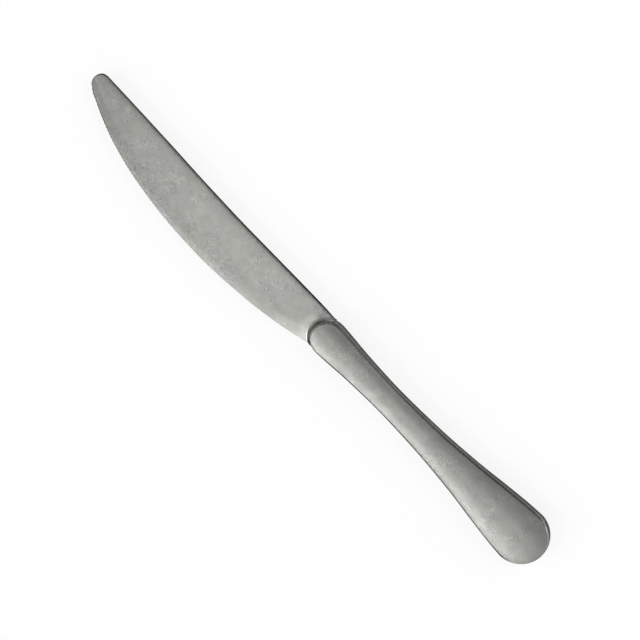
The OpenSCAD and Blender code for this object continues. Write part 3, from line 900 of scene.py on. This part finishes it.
def make_seam(material):
    """Strip between the shells: along one side to the butt, and back along the other side."""
    stations = [s for s in handle_stations() if s[0] != "mouth" or s[1] > SEAT_ANGLE]
    rings = []
    for side, row in ((1, stations), (-1, stations[-2::-1])):
        for s in row:
            edges = [(x, side * w) for x, w in (rim(s, 0), rim(s, SHELL_T))]
            upper = [(x, y, BRAZE_T / 2) for x, y in edges]
            rings.append(upper + [(x, y, -z) for x, y, z in reversed(upper)])
    make_piece("handle_seam", rings, "seam_braze", material)


# Nodes
def grey(level):
    return (level, level, level, 1)


class Graph:
    """Short hand for the nodes of a material or of the world."""

    def __init__(self, owner):
        owner.use_nodes = True
        self.tree = owner.node_tree

    def put(self, value, socket):
        """Links a value to a socket, or writes it there."""
        if isinstance(value, bpy.types.NodeSocket):
            self.tree.links.new(value, socket)
        else:
            socket.default_value = value

    def node(self, kind, values=None, **settings):
        made = self.tree.nodes.new(kind)
        for key, value in settings.items():
            setattr(made, key, value)
        for key, value in (values or {}).items():
            self.put(value, made.inputs[key])
        return made

    def math(self, operation, a, b, clamp=False):
        made = self.node("ShaderNodeMath", {0: a, 1: b}, operation=operation, use_clamp=clamp)
        return made.outputs[0]

    def span(self, value, low, high, to_low=0.0, to_high=1.0, **settings):
        """Value mapped from one span to another, and held inside it."""
        return self.node("ShaderNodeMapRange", {
            "Value": value, "From Min": low, "From Max": high, "To Min": to_low, "To Max": to_high,
        }, clamp=True, **settings).outputs["Result"]


class Surface(Graph):
    """Nodes in front of a material's shader."""

    def __init__(self, name):
        self.material = bpy.data.materials.new(name)
        super().__init__(self.material)
        self.shader = self.tree.nodes["Principled BSDF"]
        self.place = self.node("ShaderNodeTexCoord").outputs["Object"]

    def noise(self, size_mm, detail=2.0, rough=0.5, place=None, distortion=0.0):
        return self.node("ShaderNodeTexNoise", {
            "Vector": place or self.place, "Scale": 1 / (size_mm * MM), "Detail": detail,
            "Roughness": rough, "Distortion": distortion,
        }).outputs["Fac"]

    def stretched(self, scale, turn_deg):
        """Place, turned about the vertical and then stretched."""
        turn = (0, 0, math.radians(turn_deg))
        turned = self.node("ShaderNodeMapping", {"Vector": self.place, "Rotation": turn})
        made = self.node("ShaderNodeMapping", {"Vector": turned.outputs[0], "Scale": scale})
        return made.outputs[0]

    def blend(self, amount, a, b):
        """Colour between two colours."""
        made = self.node("ShaderNodeMix", data_type="RGBA")
        for key, value in (("Factor", amount), ("A", a), ("B", b)):
            self.put(value, [i for i in made.inputs if i.name == key and i.enabled][0])
        return [o for o in made.outputs if o.enabled][0]

    def scale(self, colour, amount):
        """Colour times an amount."""
        values = {0: colour, "Scale": amount}
        return self.node("ShaderNodeVectorMath", values, operation="SCALE").outputs[0]

    def vary(self, colour, pattern, shown, swing):
        """Colour made darker and brighter by a pattern."""
        return self.scale(colour, self.span(pattern, *shown, 1.0 - swing, 1.0 + swing))

    def bump(self, height, strength, distance_mm, below=None):
        """Normal over a height, on top of the normal below it."""
        values = {"Height": height, "Strength": strength, "Distance": distance_mm * MM}
        if below is not None:
            values["Normal"] = below
        return self.node("ShaderNodeBump", values).outputs["Normal"]

    def finish(self, colour, roughness, normal, metallic=1.0):
        inputs = self.shader.inputs
        self.put(metallic, inputs["Metallic"])
        self.put(colour, inputs["Base Color"])
        self.put(roughness, inputs["Roughness"])
        self.put(normal, inputs["Normal"])
        return self.material


# Steel. Sizes of its patterns, and how much they change its brightness.
CLOUD_SIZE = 5.0
CLOUD_SWING = 0.06
PATCH_SIZE = 7.0
SPOT_SIZE = 1.5
SPOT_SWING = 0.035
GRAIN_SIZE = 0.6
GRAIN_SWING = 0.04
CLUSTER_SIZE = 8.0
UNEVEN_SIZE = 0.9
ROUGH_SWING = 0.04
# Tints of the steel, and of the patches on it
WARM_TINT = (1, 1.01, 0.94)
COOL_TINT = (0.965, 0.96, 0.95)
# Marks: size, stretch, and for either direction its angle, the span of the pattern that shows
# and whether they are darker or brighter
MARK_SIZE = 0.75
MARK_STRETCH = (0.5, 1.5, 1.0)
MARKS = ((45, 0.57, 0.64, -1), (-45, 0.58, 0.65, 1))
# Dents: size of the cells that can hold one, share of the cells that do, size and shift of the
# waves that bend them, and the distances between which a dent rises from its floor
DENT_CELL = 2.4
DENT_SHARE = 0.2
DENT_SHARE_STEP = 0.01
DENT_WAVE = 0.8
DENT_SHIFT = 0.4
DENT_BOWL = (0.075, 0.375)
# Spans of the patterns that show: of clouds, of patches, of clusters and of all others
CLOUD_SPAN = (0.35, 0.65)
PATCH_SPAN = (0.54, 0.61)
CLUSTER_SPAN = (0.48, 0.58)
FULL_SPAN = (0.3, 0.7)
# Heights of the bumps, and the strengths of those that aren't at their full height
GRAIN_HEIGHT = 0.006
DENT_DEPTH = 0.012
RIDGE_HEIGHT = 0.01
GRAIN_STRENGTH = 0.3
WEAR_STRENGTH = 0.4
# Painted shade: its dark colour, what it leaves of the reflections, and how bright the painted
# highlight makes steel at -1
PAINTED_SHADE_COLOUR = (0.034, 0.034, 0.032, 1)
PAINTED_SHADE_TINT = 0.42
PAINTED_HIGHLIGHT_GAIN = 2.0
# The painted shade is raised to a power between these, which makes it uneven
UNEVEN_POWERS = (0.6, 1.6)
# Cement and filler metal: two colours, and the lowest and highest roughness
CEMENT_COLOURS = ((0.5, 0.46, 0.39, 1), (0.68, 0.64, 0.56, 1))
CEMENT_ROUGH = (0.8, 0.95)
SEAM_COLOURS = ((0.06, 0.056, 0.05, 1), (0.12, 0.11, 0.1, 1))
SEAM_ROUGH = (0.38, 0.5)


def patches(g, level):
    """Steel with patches of a cooler tint."""
    warm, cool = ((*(level * t for t in tint), 1) for tint in (WARM_TINT, COOL_TINT))
    return g.blend(g.span(g.noise(PATCH_SIZE, distortion=0.8), *PATCH_SPAN), warm, cool)


def mark_pattern(g, clusters, turn, low, high):
    """Small marks in one direction, in clusters."""
    place = g.stretched(MARK_STRETCH, turn)
    streaks = g.noise(MARK_SIZE, detail=1.0, place=place, distortion=0.8)
    return g.math("MULTIPLY", g.span(streaks, low, high), clusters)


def dent_pattern(g):
    """Small dents in some cells of a pattern: 0 in a dent's middle and 1 around it."""
    waves = g.node("ShaderNodeTexNoise", {"Vector": g.place, "Scale": 1 / (DENT_WAVE * MM)})
    bent = g.node("ShaderNodeVectorMath", {
        0: waves.outputs["Color"], 1: (DENT_SHIFT * MM,) * 3, 2: g.place,
    }, operation="MULTIPLY_ADD").outputs[0]
    cells = g.node("ShaderNodeTexVoronoi", {"Vector": bent, "Scale": 1 / (DENT_CELL * MM)})
    pick = g.node("ShaderNodeSeparateColor", {0: cells.outputs["Color"]}).outputs[0]
    deep = g.span(pick, DENT_SHARE, DENT_SHARE + DENT_SHARE_STEP, 1.0, 0.0)
    bowl = g.span(cells.outputs["Distance"], *DENT_BOWL, 1.0, 0.0)
    return g.math("SUBTRACT", 1.0, g.math("MULTIPLY", deep, bowl))


def painted_tone_along(g, colour, painted_tone):
    """Colour times a painted shade and highlight along the knife, from a table of X and brightness.
    """
    along = g.node("ShaderNodeSeparateXYZ", {0: g.place}).outputs[0]
    for (x0, f0), (x1, f1) in zip(painted_tone, painted_tone[1:]):
        colour = g.scale(colour, g.span(along, x0 * MM, x1 * MM, 1.0, f1 / f0))
    return g.scale(colour, painted_tone[0][1])


def add_painted_shade(g, colour):
    """Colour under the painted shade of the mesh, which also takes away from the reflections.

    Below 0 the mesh's value is a painted highlight that brightens the colour.
    """
    shade_amount = g.node("ShaderNodeAttribute", attribute_name="painted_shade").outputs["Fac"]
    colour = g.scale(colour, g.span(shade_amount, -1.0, 0.0, PAINTED_HIGHLIGHT_GAIN, 1.0))
    uneven = g.span(g.noise(UNEVEN_SIZE, detail=3.0, rough=0.7), *FULL_SPAN, *UNEVEN_POWERS)
    shade_amount = g.math("POWER", shade_amount, uneven, clamp=True)
    g.put(g.blend(shade_amount, grey(1), grey(PAINTED_SHADE_TINT)), g.shader.inputs["Specular Tint"])
    return g.blend(shade_amount, colour, PAINTED_SHADE_COLOUR)


def tumbled_steel_with_painted_shade(name, level, rough, marks, wear_mm, painted_tone):
    """Tumbled steel: cloudy colour, small marks in clusters, fine grain, and painted shade and
    highlight.

    level is its brightness, marks is how much the marks change that, and wear_mm is the height
    of its waves. The last argument lists places along X, with the painted shade or highlight there
    as a brightness.
    """
    g = Surface(name)
    clouds = g.noise(CLOUD_SIZE, detail=3.0, rough=0.6, distortion=0.5)
    spots = g.noise(SPOT_SIZE, rough=0.6, distortion=0.6)
    grain = g.noise(GRAIN_SIZE, detail=3.0, rough=0.65)
    colour = g.vary(patches(g, level), clouds, CLOUD_SPAN, CLOUD_SWING)
    colour = g.vary(colour, spots, FULL_SPAN, SPOT_SWING)
    colour = g.vary(colour, grain, FULL_SPAN, GRAIN_SWING)
    clusters = g.span(g.noise(CLUSTER_SIZE, detail=1.0), *CLUSTER_SPAN)
    hits = []
    for turn, low, high, sign in MARKS:
        hits.append(mark_pattern(g, clusters, turn, low, high))
        colour = g.scale(colour, g.span(hits[-1], 0.0, 1.0, 1.0, 1.0 + sign * marks))
    colour = add_painted_shade(g, painted_tone_along(g, colour, painted_tone))
    roughness = g.span(grain, *FULL_SPAN, rough - ROUGH_SWING, rough + ROUGH_SWING)
    normal = g.bump(grain, GRAIN_STRENGTH, GRAIN_HEIGHT)
    normal = g.bump(g.math("MULTIPLY", dent_pattern(g), clusters), 1.0, DENT_DEPTH, normal)
    normal = g.bump(g.math("ADD", *hits), 1.0, RIDGE_HEIGHT, normal)
    normal = g.bump(clouds, WEAR_STRENGTH, wear_mm, normal)
    return g.finish(colour, roughness, normal)


def cement():
    """Pale, matt and grainy."""
    g = Surface("cast_cement")
    coarse = g.noise(2.2, detail=4.0, rough=0.65)
    fine = g.noise(0.35, detail=3.0, rough=0.6)
    colour = g.blend(g.span(coarse, *CLOUD_SPAN), *CEMENT_COLOURS)
    roughness = g.span(fine, *FULL_SPAN, *CEMENT_ROUGH)
    normal = g.bump(g.math("ADD", coarse, fine), 0.6, 0.08)
    return g.finish(colour, roughness, normal, metallic=0.0)


def seam_metal():
    """Dark filler metal, ground flush."""
    g = Surface("seam_metal")
    fine = g.noise(0.5, detail=3.0)
    colour = g.blend(g.span(fine, *FULL_SPAN), *SEAM_COLOURS)
    roughness = g.span(fine, *FULL_SPAN, *SEAM_ROUGH)
    return g.finish(colour, roughness, g.bump(fine, GRAIN_STRENGTH, RIDGE_HEIGHT))


# Stage. The floor's half size is in metres, and its lift is the share of it that glows.
FLOOR_SIZE = 8.0
FLOOR_LIFT = 0.85
FLOOR_COLOUR = 0.95
# Brightness of the studio, from the spine's side to the side of the cutting edge
SKY_STOPS = [
    (0.0, 0.2), (0.4, 0.22), (0.52, 0.315), (0.62, 0.565), (0.72, 0.74), (0.83, 1.03), (1.0, 1.3),
]
# Share of that at the height of the floor, and the height from which it is full
LOW_SHARE = 0.8
LOW_TOP = 0.45
# How much brighter the two ends of the room are, past the tip and past the butt
END_LIFT = 1.0
KEY_LAMP = {"towards": (-0.36, -0.82, 0.45), "strength": 1.1, "angle": 32}
RIM_LAMP = {"towards": (0.33, 0.88, 0.36), "strength": 2.35, "angle": 60}


def floor_paint():
    """Pale paint that glows where the camera sees it, directly or in the steel."""
    material = bpy.data.materials.new("pale_floor")
    g = Graph(material)
    g.tree.nodes.clear()
    paint = g.node("ShaderNodeBsdfDiffuse", {"Color": grey(FLOOR_COLOUR)}).outputs[0]
    glow = g.node("ShaderNodeEmission", {"Color": grey(1), "Strength": 1.0}).outputs[0]
    rays = g.node("ShaderNodeLightPath").outputs
    seen = rays["Is Camera Ray"]
    for ray in ("Is Glossy Ray", "Is Transmission Ray"):
        seen = g.math("ADD", seen, rays[ray], clamp=True)
    share = g.math("MULTIPLY", seen, FLOOR_LIFT)
    both = g.node("ShaderNodeMixShader", {"Fac": share, 1: paint, 2: glow}).outputs[0]
    g.node("ShaderNodeOutputMaterial", {"Surface": both})
    return material


def make_floor():
    """Pale floor. Part of its brightness is its own, so that its shadows stay soft."""
    mesh = bpy.data.meshes.new("floor")
    s = FLOOR_SIZE
    mesh.from_pydata([(-s, -s, 0), (s, -s, 0), (s, s, 0), (-s, s, 0)], [], [(0, 1, 2, 3)])
    mesh.materials.append(floor_paint())
    floor = bpy.data.objects.new("floor", mesh)
    bpy.context.scene.collection.objects.link(floor)


def make_sky():
    """Studio walls and ceiling: bright on the side of the cutting edge, dim on the spine's side."""
    world = bpy.data.worlds.new("studio")
    bpy.context.scene.world = world
    g = Graph(world)
    g.tree.nodes.clear()
    place = g.node("ShaderNodeTexCoord").outputs["Generated"]
    axes = g.node("ShaderNodeSeparateXYZ", {0: place}).outputs
    ramp = g.node("ShaderNodeValToRGB", {"Fac": g.span(axes["Y"], 1.0, -1.0)})
    ramp.color_ramp.interpolation = "EASE"
    stops = ramp.color_ramp.elements
    while len(stops) < len(SKY_STOPS):
        stops.new(0.5)
    for stop, (where, level) in zip(stops, SKY_STOPS):
        stop.position = where
        stop.color = grey(level)
    low = g.span(axes["Z"], 0.0, LOW_TOP, LOW_SHARE, 1.0, interpolation_type="SMOOTHSTEP")
    ends = g.span(g.math("MULTIPLY", axes["X"], axes["X"]), 0.0, 1.0, 1.0, 1.0 + END_LIFT)
    strength = g.math("MULTIPLY", low, ends)
    back = g.node("ShaderNodeBackground", {"Color": ramp.outputs["Color"], "Strength": strength})
    g.node("ShaderNodeOutputWorld", {"Surface": back.outputs[0]})


def make_lamp(name, towards, strength, angle):
    """Soft box, far away."""
    lamp = bpy.data.lights.new(name, "SUN")
    lamp.energy = strength
    lamp.angle = math.radians(angle)
    made = bpy.data.objects.new(name, lamp)
    made.rotation_euler = Vector(towards).to_track_quat("Z", "Y").to_euler()
    bpy.context.scene.collection.objects.link(made)


def make_camera():
    """Camera that looks straight down on the rolled knife, turned as in the photograph."""
    towards = Vector((0, math.sin(ROLL), math.cos(ROLL)))
    up_face = Vector((0, math.cos(ROLL), -math.sin(ROLL)))
    along = Vector((1, 0, 0))
    right = math.cos(TURN) * along + math.sin(TURN) * up_face
    up = -math.sin(TURN) * along + math.cos(TURN) * up_face
    aim = Vector((AIM_X, FRAME.y, FRAME.z)) + AIM_UP * up_face
    lens = bpy.data.cameras.new("camera")
    lens.sensor_width = SENSOR_W
    lens.lens = SENSOR_W * CAMERA_DISTANCE / VIEW_WIDTH
    lens.clip_end = CLIP_END_M
    camera = bpy.data.objects.new("camera", lens)
    basis = Matrix((right, up, towards)).transposed().to_4x4()
    camera.matrix_world = Matrix.Translation((aim + CAMERA_DISTANCE * towards) * MM) @ basis
    bpy.context.scene.collection.objects.link(camera)
    bpy.context.scene.camera = camera


# Main
make_camera()
make_sky()
make_lamp("key", **KEY_LAMP)
make_lamp("rim", **RIM_LAMP)
make_floor()
bpy.context.scene.view_settings.view_transform = "Standard"

blade_steel = tumbled_steel_with_painted_shade(
    "blade_steel", level=0.48, rough=0.36, marks=0.22, wear_mm=0.012, painted_tone=BLADE_PAINTED_TONE)
handle_steel = tumbled_steel_with_painted_shade(
    "handle_steel", level=0.505, rough=0.34, marks=0.2, wear_mm=0.02, painted_tone=HANDLE_PAINTED_TONE)

make_blade(blade_steel)
make_shell("handle_top", 1, "handle_shell_top", handle_steel)
make_shell("handle_bottom", -1, "handle_shell_bottom", handle_steel)
make_seam(seam_metal())
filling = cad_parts["handle_filling"]
filling.data.materials.clear()
filling.data.materials.append(cement())
